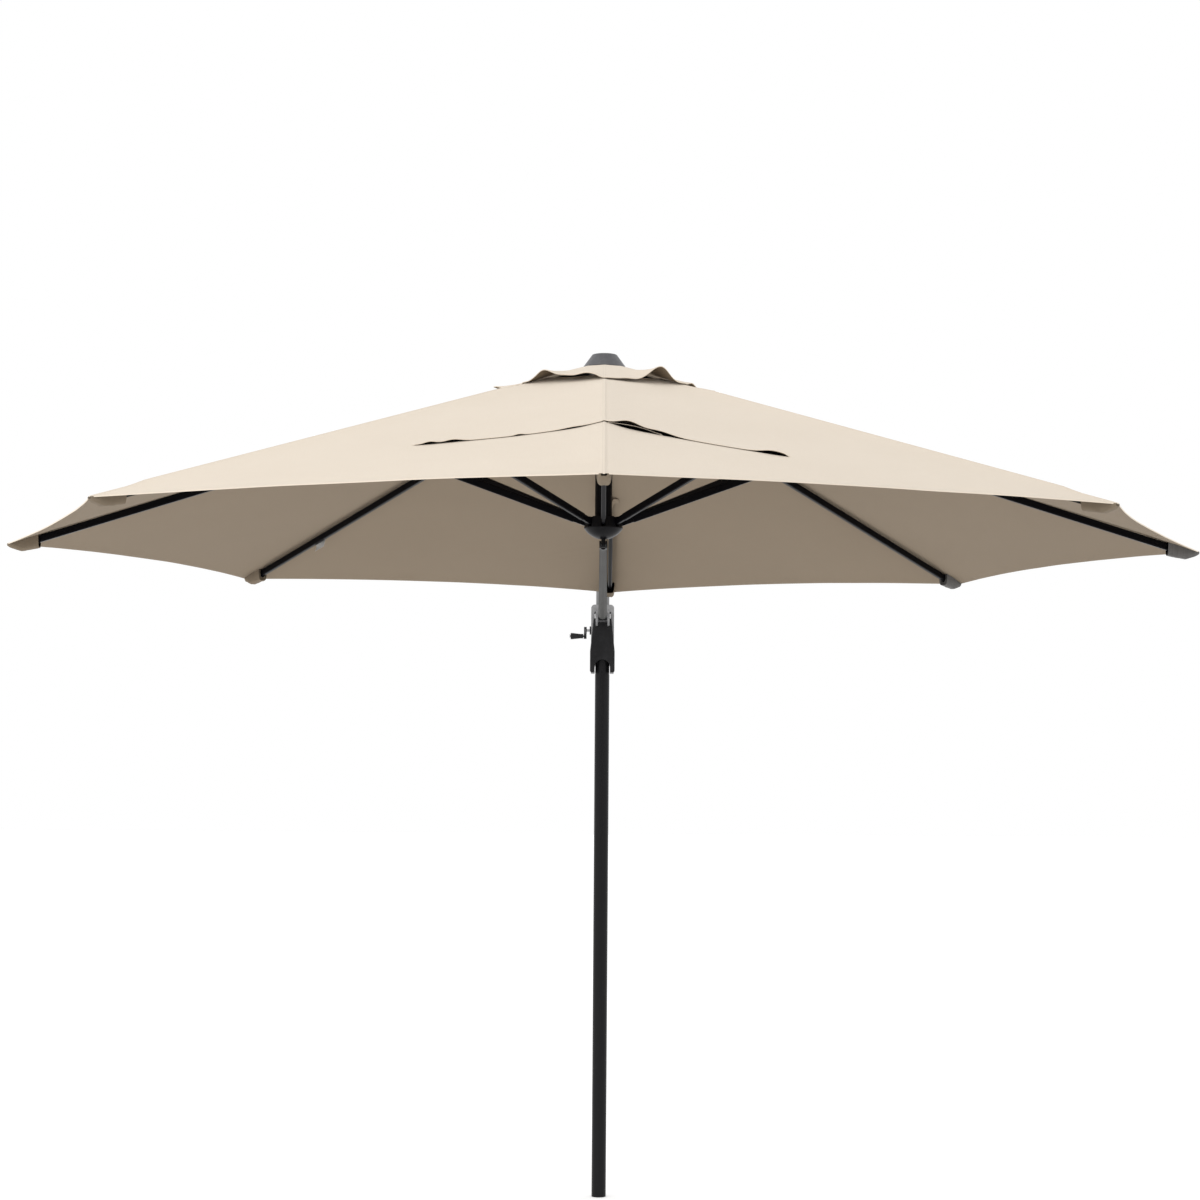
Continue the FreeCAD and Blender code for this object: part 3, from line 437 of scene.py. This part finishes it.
def coatMaterial(name, paint, rubbed, gloss, metal=0.0, peel=900.0, bump=0.35, shine=0.2):
    material, tree, shader = newMaterial(name)
    effect = placeGroup(tree, coatGroup, {"Paint": paint, "Rubbed": rubbed, "Peel": peel, "Gloss": gloss})
    tree.links.new(effect.outputs["Colour"], shader.inputs["Base Color"])
    tree.links.new(effect.outputs["Roughness"], shader.inputs["Roughness"])
    shader.inputs["Metallic"].default_value = metal
    shader.inputs["Specular IOR Level"].default_value = shine
    addBump(tree, shader, effect.outputs["Height"], distance=0.0002, strength=bump)
    return material


# painted shade on the housing: how far above its foot it is painted black, how high its fork is, and half the
# fork's width
housingForkShade = {"foot": 0.0006, "high": 0.044, "half": 0.0258, "black": (0.012, 0.012, 0.013)}


def forkShadeColour(tree, colour):
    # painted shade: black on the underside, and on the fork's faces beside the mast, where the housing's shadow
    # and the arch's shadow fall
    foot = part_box("housing_front_cover")[0].z
    x, _, z = splitNode(tree, tree.nodes.new("ShaderNodeTexCoord").outputs["Object"])
    beside = mathNode(tree, "LESS_THAN", mathNode(tree, "ABSOLUTE", x), housingForkShade["half"])
    fork = mathNode(tree, "MULTIPLY", beside, mathNode(tree, "LESS_THAN", z, foot + housingForkShade["high"]))
    under = mathNode(tree, "LESS_THAN", z, foot + housingForkShade["foot"])
    return mixColour(tree, mathNode(tree, "MAXIMUM", fork, under), colour, housingForkShade["black"])


def plasticMaterial(name, plastic, faded, gloss, coat=0.0, shine=0.25, forkShaded=False):
    material, tree, shader = newMaterial(name)
    values = {"Plastic": plastic, "Faded": faded, "Grain": 1400.0, "Gloss": gloss}
    effect = placeGroup(tree, grainGroup, values)
    colour = effect.outputs["Colour"]
    # paint black shade on the housing's foot and fork
    if forkShaded:
        colour = forkShadeColour(tree, colour)
    tree.links.new(colour, shader.inputs["Base Color"])
    tree.links.new(effect.outputs["Roughness"], shader.inputs["Roughness"])
    shader.inputs["Specular IOR Level"].default_value = shine
    shader.inputs["Coat Weight"].default_value = coat
    shader.inputs["Coat Roughness"].default_value = 0.2
    addBump(tree, shader, effect.outputs["Height"], distance=0.0002, strength=0.3)
    return material


creamCloth = clothMaterial("cream canopy cloth", (0.755, 0.665, 0.555), (0.705, 0.615, 0.505))
# the canopy's underside: the same cloth as its top, darkened with painted shade
shadedUndersideCloth = clothMaterial("canopy cloth underside with painted shade", (0.237, 0.187, 0.133), (0.215, 0.168, 0.119),
                           sheen=0.02)
pocketCloth = clothMaterial("beige pocket cloth", (0.20, 0.158, 0.112), (0.17, 0.135, 0.095),
                            stitched=False, sheen=0.03)
tieCloth = clothMaterial("beige tie cloth", (0.26, 0.205, 0.148), (0.235, 0.184, 0.13),
                         stitched=False, sheen=0.02)
darkPocketCloth = clothMaterial("charcoal pocket cloth", (0.085, 0.083, 0.080), (0.15, 0.145, 0.14),
                                stitched=False, mottle=0.5)
# near-black cloth under the wind slit: painted shade for the gap beneath its lifted edge
paintedShadeNettingCloth = clothMaterial("slit netting with painted shade", (0.014, 0.011, 0.009), (0.008, 0.007, 0.006),
                             stitched=False, sheen=0.0, thread=0.0022)
labelCloth = clothMaterial("blank satin label", (0.62, 0.61, 0.59), (0.42, 0.41, 0.40),
                           stitched=False, mottle=0.6, sheen=0.3)

slotMaterials = {
    "mast_black": coatMaterial(
        "black mast paint", (0.010, 0.010, 0.011), (0.022, 0.022, 0.023), 0.30, shine=0.12),
    "frame_black": coatMaterial(
        "black frame paint", (0.003, 0.003, 0.004), (0.012, 0.012, 0.014), 0.30, shine=0.08),
    "upper_mast_grey": coatMaterial(
        "grey upper mast paint", (0.17, 0.17, 0.172), (0.28, 0.28, 0.28), 0.34, metal=0.2, shine=0.5),
    "guide_arm_grey": coatMaterial(
        "guide arm paint", (0.085, 0.085, 0.083), (0.105, 0.105, 0.103), 0.55,
        peel=120.0, bump=0.0, shine=0.012),
    "inner_plastic": plasticMaterial(
        "black nylon", (0.02, 0.02, 0.02), (0.05, 0.05, 0.05), 0.5),
    "cap_grey": plasticMaterial(
        "grey cap plastic", (0.085, 0.085, 0.092), (0.15, 0.15, 0.155), 0.42, coat=0.1),
    "housing_grey": plasticMaterial(
        "light grey housing plastic with painted shade", (0.30, 0.30, 0.305), (0.17, 0.17, 0.175), 0.42, coat=0.1, forkShaded=True),
    "housing_black": plasticMaterial(
        "black housing plastic", (0.011, 0.011, 0.012), (0.028, 0.028, 0.03), 0.42, shine=0.15),
    "hub_black": plasticMaterial(
        "black hub nylon", (0.004, 0.004, 0.005), (0.012, 0.012, 0.013), 0.34, shine=0.10),
    "end_cap_dark": plasticMaterial(
        "charcoal end caps", (0.020, 0.021, 0.020), (0.05, 0.052, 0.05), 0.5),
    "steel_pin": coatMaterial(
        "zinc plated steel", (0.50, 0.50, 0.51), (0.32, 0.31, 0.29), 0.3, metal=1.0, shine=0.5),
}
slotOf = {s["node"]: s["material_slot"] for s in frame["record"]["subparts"]}
for nodeName, nodeObject in nodes.items():
    finish = slotMaterials.get(slotOf.get(nodeName))
    if finish:
        nodeObject.data.materials.clear()
        nodeObject.data.materials.append(finish)
print("finishes put on the frame's own pieces")


windSlit = {
    # share of the way to the next rib (minus is left) and distance from the middle
    "line": [(-0.60, 1.038), (-0.575, 1.037), (-0.515, 1.033), (-0.4515, 1.018), (-0.261, 0.991),
             (-0.082, 0.953), (0.0, 0.929), (0.05, 0.960), (0.183, 1.014), (0.3917, 1.124),
             (0.4684, 1.170), (0.50, 1.182)],
    "leftEnd": -0.575, "rightEnd": 0.482, "endFade": 0.02, "peakHalf": 0.012, "rounding": 0.03,
    # lifts of the upper edge: where, how wide, how high
    "lifts": [(-0.515, 0.022, 0.0050), (-0.452, 0.030, 0.0050), (-0.261, 0.016, 0.0026),
              (-0.10, 0.040, 0.0024), (0.075, 0.045, 0.0150), (0.16, 0.05, 0.0075), (0.440, 0.032, 0.0070)],
    "rest": 0.0026, "lap": 0.006, "reach": 0.10, "panelWide": 0.74,
    "columns": 90, "upperRows": 40, "upperCrowd": 1.5, "lowerRows": 30, "lowerCrowd": 1.4,
    "upperFlat": (0.78795, 0.87), "upperArea": 0.40, "lowerLong": 0.50, "lowerArea": 0.50,
}


def slitLine(share):
    # rounded everywhere but at its peak on the ridge
    w = windSlit
    xs, ys = zip(*w["line"])
    if abs(share) < w["peakHalf"]:
        return float(np.interp(share, xs, ys))
    spread = min(w["rounding"], abs(share) * 0.8)
    return float(np.mean([np.interp(share + spread * t, xs, ys) for t in (-1, -0.6, -0.2, 0.2, 0.6, 1)]))


def slitOpen(share):
    # fades to nothing at both ends of the slit
    w = windSlit
    left = smooth(w["leftEnd"], w["leftEnd"] + w["endFade"], share)
    right = smooth(w["rightEnd"] - w["endFade"], w["rightEnd"], share)
    return left * (1 - right)


def slitLift(share):
    w = windSlit
    return slitOpen(share) * (w["rest"] + sum(h * hump(share, m, s) for m, s, h in w["lifts"]))


hemStops = [cornerRadius - h * math.cos(canopyCloth["slope"])
            for h in (canopyCloth["hemBand"], canopyCloth["hemBand"] - canopyCloth["hemStep"],
                      canopyCloth["hemEdge"], 0.0)]


# a row of a gore is a pair of functions of the share: distance from the middle, and lift
def straightRow(flat):
    return (lambda share: flat), (lambda share: 0.0)


def upperRow(t):
    # above the slit, lapping over it
    w, hole = windSlit, canopyCloth["hole"]

    def flatOf(share):
        return hole + (slitLine(share) + w["lap"] * slitOpen(share) - hole) * t

    def liftOf(share):
        near = (1 - t) * (slitLine(share) - hole)
        return slitLift(share) * (1 - smooth(0.0, w["reach"], near)) ** 2

    return flatOf, liftOf


def lowerRow(t):
    # from the slit down to the hem
    return (lambda share: slitLine(share) + (hemStops[0] - slitLine(share)) * t), (lambda share: 0.0)


def columnShares(left, right, flat, count):
    # signed shares from the left edge of a gore over its ridge seam to the right edge
    c = canopyCloth
    seam = [t / ribGap(flat) for t in (*c["seamSteps"], c["seamHalf"])]
    out = []
    for limit, side in ((left, -1), (right, 1)):
        far = [seam[-1] + (limit - seam[-1]) * (k / count) for k in range(1, count + 1)]
        out.append([side * s for s in seam[1:] + far])
    return list(reversed(out[0])) + [0.0] + out[1]


def goreRow(rib, left, right, count, flatOf, liftOf):
    # top points, bottom points, and how far each is across the seam and up from the hem
    c = canopyCloth
    hem = c["hemFold"] if flatOf(0.0) > hemStops[0] - 1e-6 else 0.0
    cells = []
    for share in columnShares(left, right, flatOf(0.0), count):
        side = 1 if share >= 0 else -1
        flat = flatOf(share)
        point = clothPoint(rib, side, flat, abs(share))
        normal = panelNormal(rib, side) if share else up
        across = share * ribGap(flat)
        lift = seamLift(across) + liftOf(share)
        cells.append((point + normal * (c["thickness"] + lift), point + normal * (lift - hem),
                      (across, slopeLength(cornerRadius - flat))))
    return zip(*cells)


def foldWithRib(piece, rib):
    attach(piece, f"rib_arm_{rib + 1}")
    anchor = ribHinges[rib].copy()
    if rib == canopyCloth["setRib"]:
        anchor.x += 0.5 * canopyCloth["setSide"]
    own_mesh(piece)


def gorePiece(name, rib, count, rows):
    # the near gore reaches further on its left, and the last gore less far on its right
    left = canopyCloth["nearCut"] if rib == 0 else 0.5
    right = 1 - canopyCloth["nearCut"] if rib == ribCount - 1 else 0.5
    grid = zip(*[goreRow(rib, left, right, count, *row) for row in rows])
    piece = twoFacedSheet(name, *grid, [creamCloth, shadedUndersideCloth])
    foldWithRib(piece, rib)
    return piece


def nearGore():
    # in two parts, with the slit between them and rows closer together beside it
    w = windSlit
    upperStops = [1 - (1 - k / w["upperRows"]) ** w["upperCrowd"] for k in range(w["upperRows"] + 1)]
    lowerStops = [(k / w["lowerRows"]) ** w["lowerCrowd"] for k in range(w["lowerRows"] + 1)]
    lowerRows = [lowerRow(t) for t in lowerStops] + [straightRow(flat) for flat in hemStops[1:]]
    upperPart = gorePiece("canopy_cloth_1_upper", 0, w["columns"], [upperRow(t) for t in upperStops])
    lowerPart = gorePiece("canopy_cloth_1_lower", 0, w["columns"], lowerRows)
    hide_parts("canopy_gore_1")
    return [upperPart, lowerPart]


def plainGore(rib):
    c = canopyCloth
    step = (hemStops[0] - c["hole"]) / c["rows"]
    stops = [c["hole"] + step * k for k in range(c["rows"] + 1)] + hemStops[1:]
    piece = gorePiece(f"canopy_cloth_{rib + 1}", rib, c["columns"], [straightRow(flat) for flat in stops])
    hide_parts(f"canopy_gore_{rib + 1}")
    return [piece]


gorePieces = [nearGore()] + [plainGore(rib) for rib in range(1, ribCount)]
print("canopy gores laid over the ribs")


slitShadeNet = {"in": 0.075, "out": 0.012, "pastLeft": 0.005, "pastRight": 0.010, "below": 0.0015,
           "thickness": 0.0006, "rows": 9, "columns": 81}


def paintedShadeNetting():
    # near-black net sewn under the slit, seen where its edges lift; its colour is painted shade for the gap
    n = slitShadeNet
    start, stop = windSlit["leftEnd"] - n["pastLeft"], windSlit["rightEnd"] + n["pastRight"]

    def place(r, k):
        t = r / (n["rows"] - 1)
        share = start + (stop - start) * k / (n["columns"] - 1)
        side = 1 if share >= 0 else -1
        flat = slitLine(share) - n["in"] + (n["in"] + n["out"]) * t
        drop = n["below"] * math.sin(math.pi * t) ** 0.5 + n["thickness"]
        point = clothPoint(0, side, flat, abs(share)) - panelNormal(0, side) * drop
        return point, point - panelNormal(0, side) * n["thickness"], (share * windSlit["panelWide"], flat)

    grid = sheetGrid(n["rows"], n["columns"], place)
    return twoFacedSheet("wind_slit_painted_shade_netting", *grid, [paintedShadeNettingCloth, shadedUndersideCloth])


facingStrip = {"start": 0.012, "stop": 0.175, "deep": 0.020, "lift": 0.0080, "innerLift": 0.35,
               "lap": 0.003, "clear": 0.0013, "thickness": 0.0007, "rows": 7, "columns": 41}


def slitFacing():
    # strip of cloth standing under the raised edge, right of the ridge; its underside is near-black painted shade
    f = facingStrip
    normal = panelNormal(0, 1)

    def place(r, k):
        t, along = r / (f["rows"] - 1), k / (f["columns"] - 1)
        share = f["start"] + (f["stop"] - f["start"]) * along
        flat = slitLine(share) + f["lap"] - f["deep"] * (1 - t)
        rise = f["lift"] * math.sin(math.pi * along) * (f["innerLift"] + (1 - f["innerLift"]) * t)
        point = clothPoint(0, 1, flat, share) + normal * (f["clear"] + rise)
        return point + normal * f["thickness"], point, (share * windSlit["panelWide"], flat)

    grid = sheetGrid(f["rows"], f["columns"], place)
    return twoFacedSheet("wind_slit_facing", *grid, [creamCloth, paintedShadeNettingCloth])


# the near-black net under the slit is painted shade
shadeNetting = paintedShadeNetting()
facing = slitFacing()
for strip in (shadeNetting, facing):
    foldWithRib(strip, 0)


# depth and half width of the pocket over a rib's end, from its mouth to the corner
ribPocket = {
    "length": 0.080, "end": 0.0015, "wall": 0.0012, "dark": (2, 3), "rows": 17, "columns": 19,
    "along": (-0.01, 0.0, 0.60, 0.90, 1.0, 1.01),
    "deep": (0.0255, 0.0340, 0.0280, 0.0130, 0.0055, 0.002),
    "half": (0.0090, 0.0150, 0.0140, 0.0120, 0.0070, 0.002),
    "squareWide": 0.55, "squareDeep": 0.6, "edgeRise": 0.0006,
    "crease": 0.0012, "pinch": 0.0010,
}


def ribPocketPiece(rib):
    p = ribPocket
    stops = [p["along"][0]] + [r / p["rows"] for r in range(p["rows"] + 1)] + [p["along"][-1]]

    def place(r, k):
        t = stops[r]
        flat = cornerRadius - p["end"] - p["length"] * (1 - min(1.0, max(0.0, t)))
        half = float(np.interp(t, p["along"], p["half"]))
        deep = float(np.interp(t, p["along"], p["deep"]))
        deep += p["crease"] * noise.noise(Vector((rib * 3.1, t * 3.0, 0.4)))
        turn = math.pi * k / (p["columns"] - 1)
        wide = math.copysign(abs(math.cos(turn)) ** p["squareWide"], math.cos(turn))
        low = math.sin(turn) ** p["squareDeep"]
        pinch = p["pinch"] * noise.noise(Vector((rib * 2.0, t * 7.0, turn * 2.2)))
        faces = []
        for wall in (0.0, p["wall"]):
            across = (half - wall + pinch) * wide
            drop = max(0.0, deep - wall + pinch) * low + fallBeside(across) - p["edgeRise"] * (1 - low)
            faces.append(ridgePoint(rib, flat) + acrossRib(rib) * across - up * drop)
        return *faces, (across, flat)

    cloth = darkPocketCloth if rib in p["dark"] else pocketCloth
    grid = sheetGrid(len(stops), p["columns"], place)
    piece = twoFacedSheet(f"rib_pocket_{rib + 1}", *grid, [cloth, cloth])
    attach(piece, f"rib_arm_{rib + 1}")
    return piece


ribTie = {
    "rib": 4, "flat": 0.80, "width": 0.026, "wall": 0.0014, "rounding": 0.002, "rows": 5, "columns": 41,
    # half of its way round the rib: distance from the rib's middle, and how low
    "round": [(0.0, 0.0355), (0.010, 0.0335), (0.017, 0.01375), (0.019, 0.0034), (0.033, 0.0030)],
}


def ribTiePiece():
    p = ribTie
    sides, depths = zip(*p["round"])

    def place(r, k):
        flat = p["flat"] + p["width"] * (r / (p["rows"] - 1) - 0.5)
        across = sides[-1] * (2 * k / (p["columns"] - 1) - 1)
        near = [abs(across + e) for e in (-p["rounding"], 0, p["rounding"])]
        drop = float(np.mean(np.interp(near, sides, depths))) + fallBeside(across)
        point = ridgePoint(p["rib"], flat) + acrossRib(p["rib"]) * across - up * drop
        return point, point - up * p["wall"], (across, flat)

    grid = sheetGrid(p["rows"], p["columns"], place)
    piece = twoFacedSheet(f"rib_tie_{p['rib'] + 1}", *grid, [tieCloth, tieCloth])
    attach(piece, f"rib_arm_{p['rib'] + 1}")
    return piece


blankLabel = {
    "rib": 5, "wide": 0.042, "long": 0.022, "thickness": 0.0005, "curl": 0.005, "ripple": 0.0012,
    # moves from the middle of its CAD solid: sideways, towards the canopy's middle, and up to the cloth
    "aside": 0.034, "inward": 0.020, "raised": 0.009, "rows": 11, "columns": 9,
}


def careLabel():
    # small blank label hanging from the cloth, its free end curling
    b = blankLabel
    low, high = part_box("care_label")
    tangent = acrossRib(b["rib"])
    along = ribWay[b["rib"]] * math.cos(canopyCloth["slope"]) - up * math.sin(canopyCloth["slope"])
    middle = (low + high) / 2 + tangent * b["aside"] - along * b["inward"] + up * b["raised"]

    def place(r, k):
        t, s = r / (b["rows"] - 1), k / (b["columns"] - 1) - 0.5
        curl = b["curl"] * t * t + b["ripple"] * math.sin(5 * t + 3 * s)
        point = middle + along * b["wide"] * s - up * b["long"] * (t - 0.5) + tangent * curl
        return point, point - tangent * b["thickness"], (b["wide"] * s, b["long"] * t)

    grid = sheetGrid(b["rows"], b["columns"], place)
    piece = twoFacedSheet("care_label_cloth", *grid, [labelCloth, labelCloth])
    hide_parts("care_label")
    foldWithRib(piece, b["rib"])
    return piece


pockets = [ribPocketPiece(rib) for rib in range(ribCount)]
tie = ribTiePiece()
label = careLabel()
print("pockets, tie, netting, facing and label sewn on")


# small canopy over the hole, its edges lifting between the corners
ventFlap = {
    "inner": 0.058, "corner": 0.279, "clear": 0.0045, "thickness": 0.0010, "bulge": 0.004, "hemPull": 0.010,
    "hemFrom": 0.93, "hemFold": 0.0008, "heldEnds": 0.12, "ripple": 0.003, "rows": 23, "columns": 41,
    # raised places along each panel's hem, near right panel first: where, how wide, how high
    "lips": [[(0.685, 0.15, 0.036)], [(0.30, 0.14, 0.007)], [(0.5, 0.25, 0.016)], [(0.4, 0.2, 0.022)],
             [(0.6, 0.2, 0.020)], [(0.5, 0.25, 0.018)], [(0.45, 0.3, 0.004)],
             [(0.25, 0.12, 0.020), (0.45, 0.30, 0.011), (0.82, 0.16, 0.010)]],
    "cornerLift": [0.0, 0.0, 0.013, 0.004, 0.0, 0.004, 0.020, 0.0], "cornerWide": 0.22,
    "foldedShare": 0.22,
}


def ventPoint(rib, side, flat, share):
    v = ventFlap
    point = ridgePoint(rib, flat).lerp(ridgePoint(rib + side, flat), share)
    panel = rib if side > 0 else (rib - 1) % ribCount
    across = share if side > 0 else 1 - share
    held = smooth(0.0, v["heldEnds"], across) * smooth(0.0, v["heldEnds"], 1 - across)
    lip = held * sum(h * hump(across, m, w) for m, w, h in v["lips"][panel])
    lip += v["ripple"] * held * noise.noise(Vector((panel * 1.7, across * 5, 0.3)))
    corner = v["cornerLift"][panel] * hump(across, 0, v["cornerWide"])
    corner += v["cornerLift"][(panel + 1) % ribCount] * hump(across, 1, v["cornerWide"])
    fall = (flat - v["inner"]) / (v["corner"] - v["inner"])
    point += up * (v["clear"] + v["bulge"] * fall * (1 - fall) + corner * fall ** 3)
    point += panelNormal(rib, side) * lip * fall ** 2.2
    point -= downPanel(rib, side) * v["hemPull"] * 4 * share * (1 - share) * fall ** 3
    return point


def ventFlapPiece(rib):
    v = ventFlap

    def place(r, k):
        t, step = r / (v["rows"] - 1), k / (v["columns"] - 1) - 0.5
        flat = v["inner"] + (v["corner"] - v["inner"]) * t
        side = 1 if step >= 0 else -1
        point = ventPoint(rib, side, flat, abs(step))
        normal = panelNormal(rib, side) if step else up
        thick = v["thickness"] + (v["hemFold"] if t > v["hemFrom"] else 0.0)
        return point + normal * thick, point, (step * ribGap(flat), slopeLength(v["corner"] - flat))

    grid = sheetGrid(v["rows"], v["columns"], place)
    piece = twoFacedSheet(f"vent_flap_{rib + 1}", *grid, [creamCloth, shadedUndersideCloth])
    foldWithRib(piece, rib)
    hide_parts("vent_canopy")


for rib in range(ribCount):
    ventFlapPiece(rib)
print("vent canopy added")


studio = {"world": 1.0, "floor": (0.80, 0.80, 0.80), "floorGlow": 0.35, "floorHalf": 40, "floorDrop": 0.001}
softboxes = {
    "key softbox": {"place": (-6.5, -5.5, 5.0), "aim": tuple(canopyMid), "size": (4.0, 3.0),
                    "power": 150.0, "colour": (1.0, 0.985, 0.96)},
    "right softbox": {"place": (5.0, -4.5, 3.0), "aim": (0, -0.5, 1.6), "size": (2.5, 3.5),
                      "power": 8.0, "colour": (1, 1, 1)},
}


def addSoftbox(name, box):
    light = bpy.data.lights.new(name, "AREA")
    light.shape = "RECTANGLE"
    light.size, light.size_y = box["size"]
    light.energy = box["power"]
    light.color = box["colour"]
    lamp = bpy.data.objects.new(name, light)
    bpy.context.scene.collection.objects.link(lamp)
    lamp.location = box["place"]
    lamp.rotation_euler = (Vector(box["aim"]) - Vector(box["place"])).to_track_quat("-Z", "Y").to_euler()


def addFloor():
    half = studio["floorHalf"]
    mesh = bpy.data.meshes.new("studio_floor")
    corners = [(-half, -half, 0), (half, -half, 0), (half, half, 0), (-half, half, 0)]
    mesh.from_pydata(corners, [], [(0, 1, 2, 3)])
    paint, tree, shader = newMaterial("pale studio floor")
    shader.inputs["Base Color"].default_value = (*studio["floor"], 1)
    shader.inputs["Roughness"].default_value = 0.9
    shader.inputs["Specular IOR Level"].default_value = 0.1
    shader.inputs["Emission Color"].default_value = (1, 1, 1, 1)
    shader.inputs["Emission Strength"].default_value = studio["floorGlow"]
    mesh.materials.append(paint)
    floor = bpy.data.objects.new("studio_floor", mesh)
    floor.location.z = -studio["floorDrop"]
    bpy.context.scene.collection.objects.link(floor)


def addWorld():
    world = bpy.data.worlds.new("pale studio")
    bpy.context.scene.world = world
    world.use_nodes = True
    background = world.node_tree.nodes["Background"]
    background.inputs[0].default_value = (1, 1, 1, 1)
    background.inputs[1].default_value = studio["world"]


addFloor()
addWorld()
for name, box in softboxes.items():
    addSoftbox(name, box)
bpy.context.scene.view_settings.view_transform = "Standard"

viewpoint = {"place": (-0.0017, -7.7543, 1.4385), "roll": -0.4, "lens": 69.79, "shift": (-0.0009, 0.1371)}
cameraData = bpy.data.cameras.new("front camera")
cameraData.lens = viewpoint["lens"]
cameraData.sensor_width = 36.0
cameraData.shift_x, cameraData.shift_y = viewpoint["shift"]
cameraData.clip_end = 200
camera = bpy.data.objects.new("front camera", cameraData)
bpy.context.scene.collection.objects.link(camera)
camera.location = viewpoint["place"]
camera.rotation_euler = (math.pi / 2, math.radians(viewpoint["roll"]), 0)
bpy.context.scene.camera = camera
print("studio and camera ready")

bpy.context.view_layer.update()
